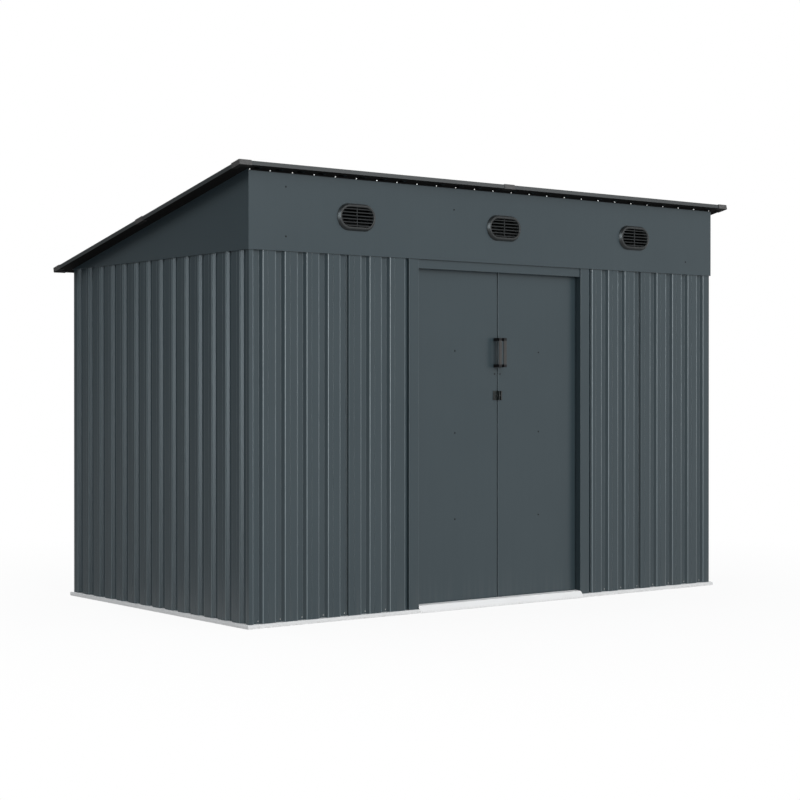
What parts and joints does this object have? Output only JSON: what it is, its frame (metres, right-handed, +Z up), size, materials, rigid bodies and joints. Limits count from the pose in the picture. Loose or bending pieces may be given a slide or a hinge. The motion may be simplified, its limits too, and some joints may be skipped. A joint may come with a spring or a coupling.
{
  "type": "metal storage shed",
  "caption": "Pent-roof metal garden shed with corrugated walls, a flat vented fascia and a pair of sliding doors.",
  "frame": {"origin": "on the ground, under the middle of the roof's plan", "axes": "+X to the right along the front, +Y from the doors to the back, +Z up"},
  "size_m": [2.775, 1.58, 1.8302],
  "materials": {
    "anthracite_paint": "satin",
    "trim_paint": "satin",
    "pale_rail": "satin",
    "galvanised_steel": "dull",
    "cap_plastic": "matte",
    "vent_plastic": "satin",
    "dark_fittings": "satin",
    "slider_nylon": "matte"
  },
  "bodies": {
    "shed": {"back_base_rail": "pale_rail", "back_roof_trim": "trim_paint", "back_top_rail": "galvanised_steel", "back_wall_left": "anthracite_paint", "back_wall_right": "anthracite_paint", "centre_vent": "vent_plastic", "corner_posts": "galvanised_steel", "door_header": "anthracite_paint", "door_jambs": "anthracite_paint", "door_ramp": "pale_rail", "door_track": "galvanised_steel", "front_base_rails": "pale_rail", "front_fascia": "anthracite_paint", "front_roof_trim": "trim_paint", "front_top_rail": "galvanised_steel", "front_wall_left_inner": "anthracite_paint", "front_wall_left_outer": "anthracite_paint", "front_wall_right_inner": "anthracite_paint", "front_wall_right_outer": "anthracite_paint", "left_gable": "anthracite_paint", "left_roof_trim": "trim_paint", "left_vent": "vent_plastic", "left_wall": "anthracite_paint", "right_gable": "anthracite_paint", "right_roof_trim": "trim_paint", "right_vent": "vent_plastic", "right_wall": "anthracite_paint", "roof_corner_caps": "cap_plastic", "roof_joint_covers": "cap_plastic", "roof_purlins": "galvanised_steel", "roof_sheet_left": "anthracite_paint", "roof_sheet_middle": "anthracite_paint", "roof_sheet_right": "anthracite_paint", "side_base_rails": "pale_rail", "side_top_rails": "galvanised_steel"},
    "left_door": {"left_door_braces": "anthracite_paint", "left_door_handle": "dark_fittings", "left_door_hasp": "dark_fittings", "left_door_leaf": "anthracite_paint", "left_door_sliders": "slider_nylon"},
    "right_door": {"right_door_braces": "anthracite_paint", "right_door_handle": "dark_fittings", "right_door_hasp": "dark_fittings", "right_door_leaf": "anthracite_paint", "right_door_sliders": "slider_nylon"}
  },
  "joints": [
    {"name": "left_door_slide", "type": "slide", "parent": "shed", "child": "left_door", "axis": [-1, 0, 0], "range_m": [0, 0.42]},
    {"name": "right_door_slide", "type": "slide", "parent": "shed", "child": "right_door", "axis": [1, 0, 0], "range_m": [0, 0.42]}
  ]
}
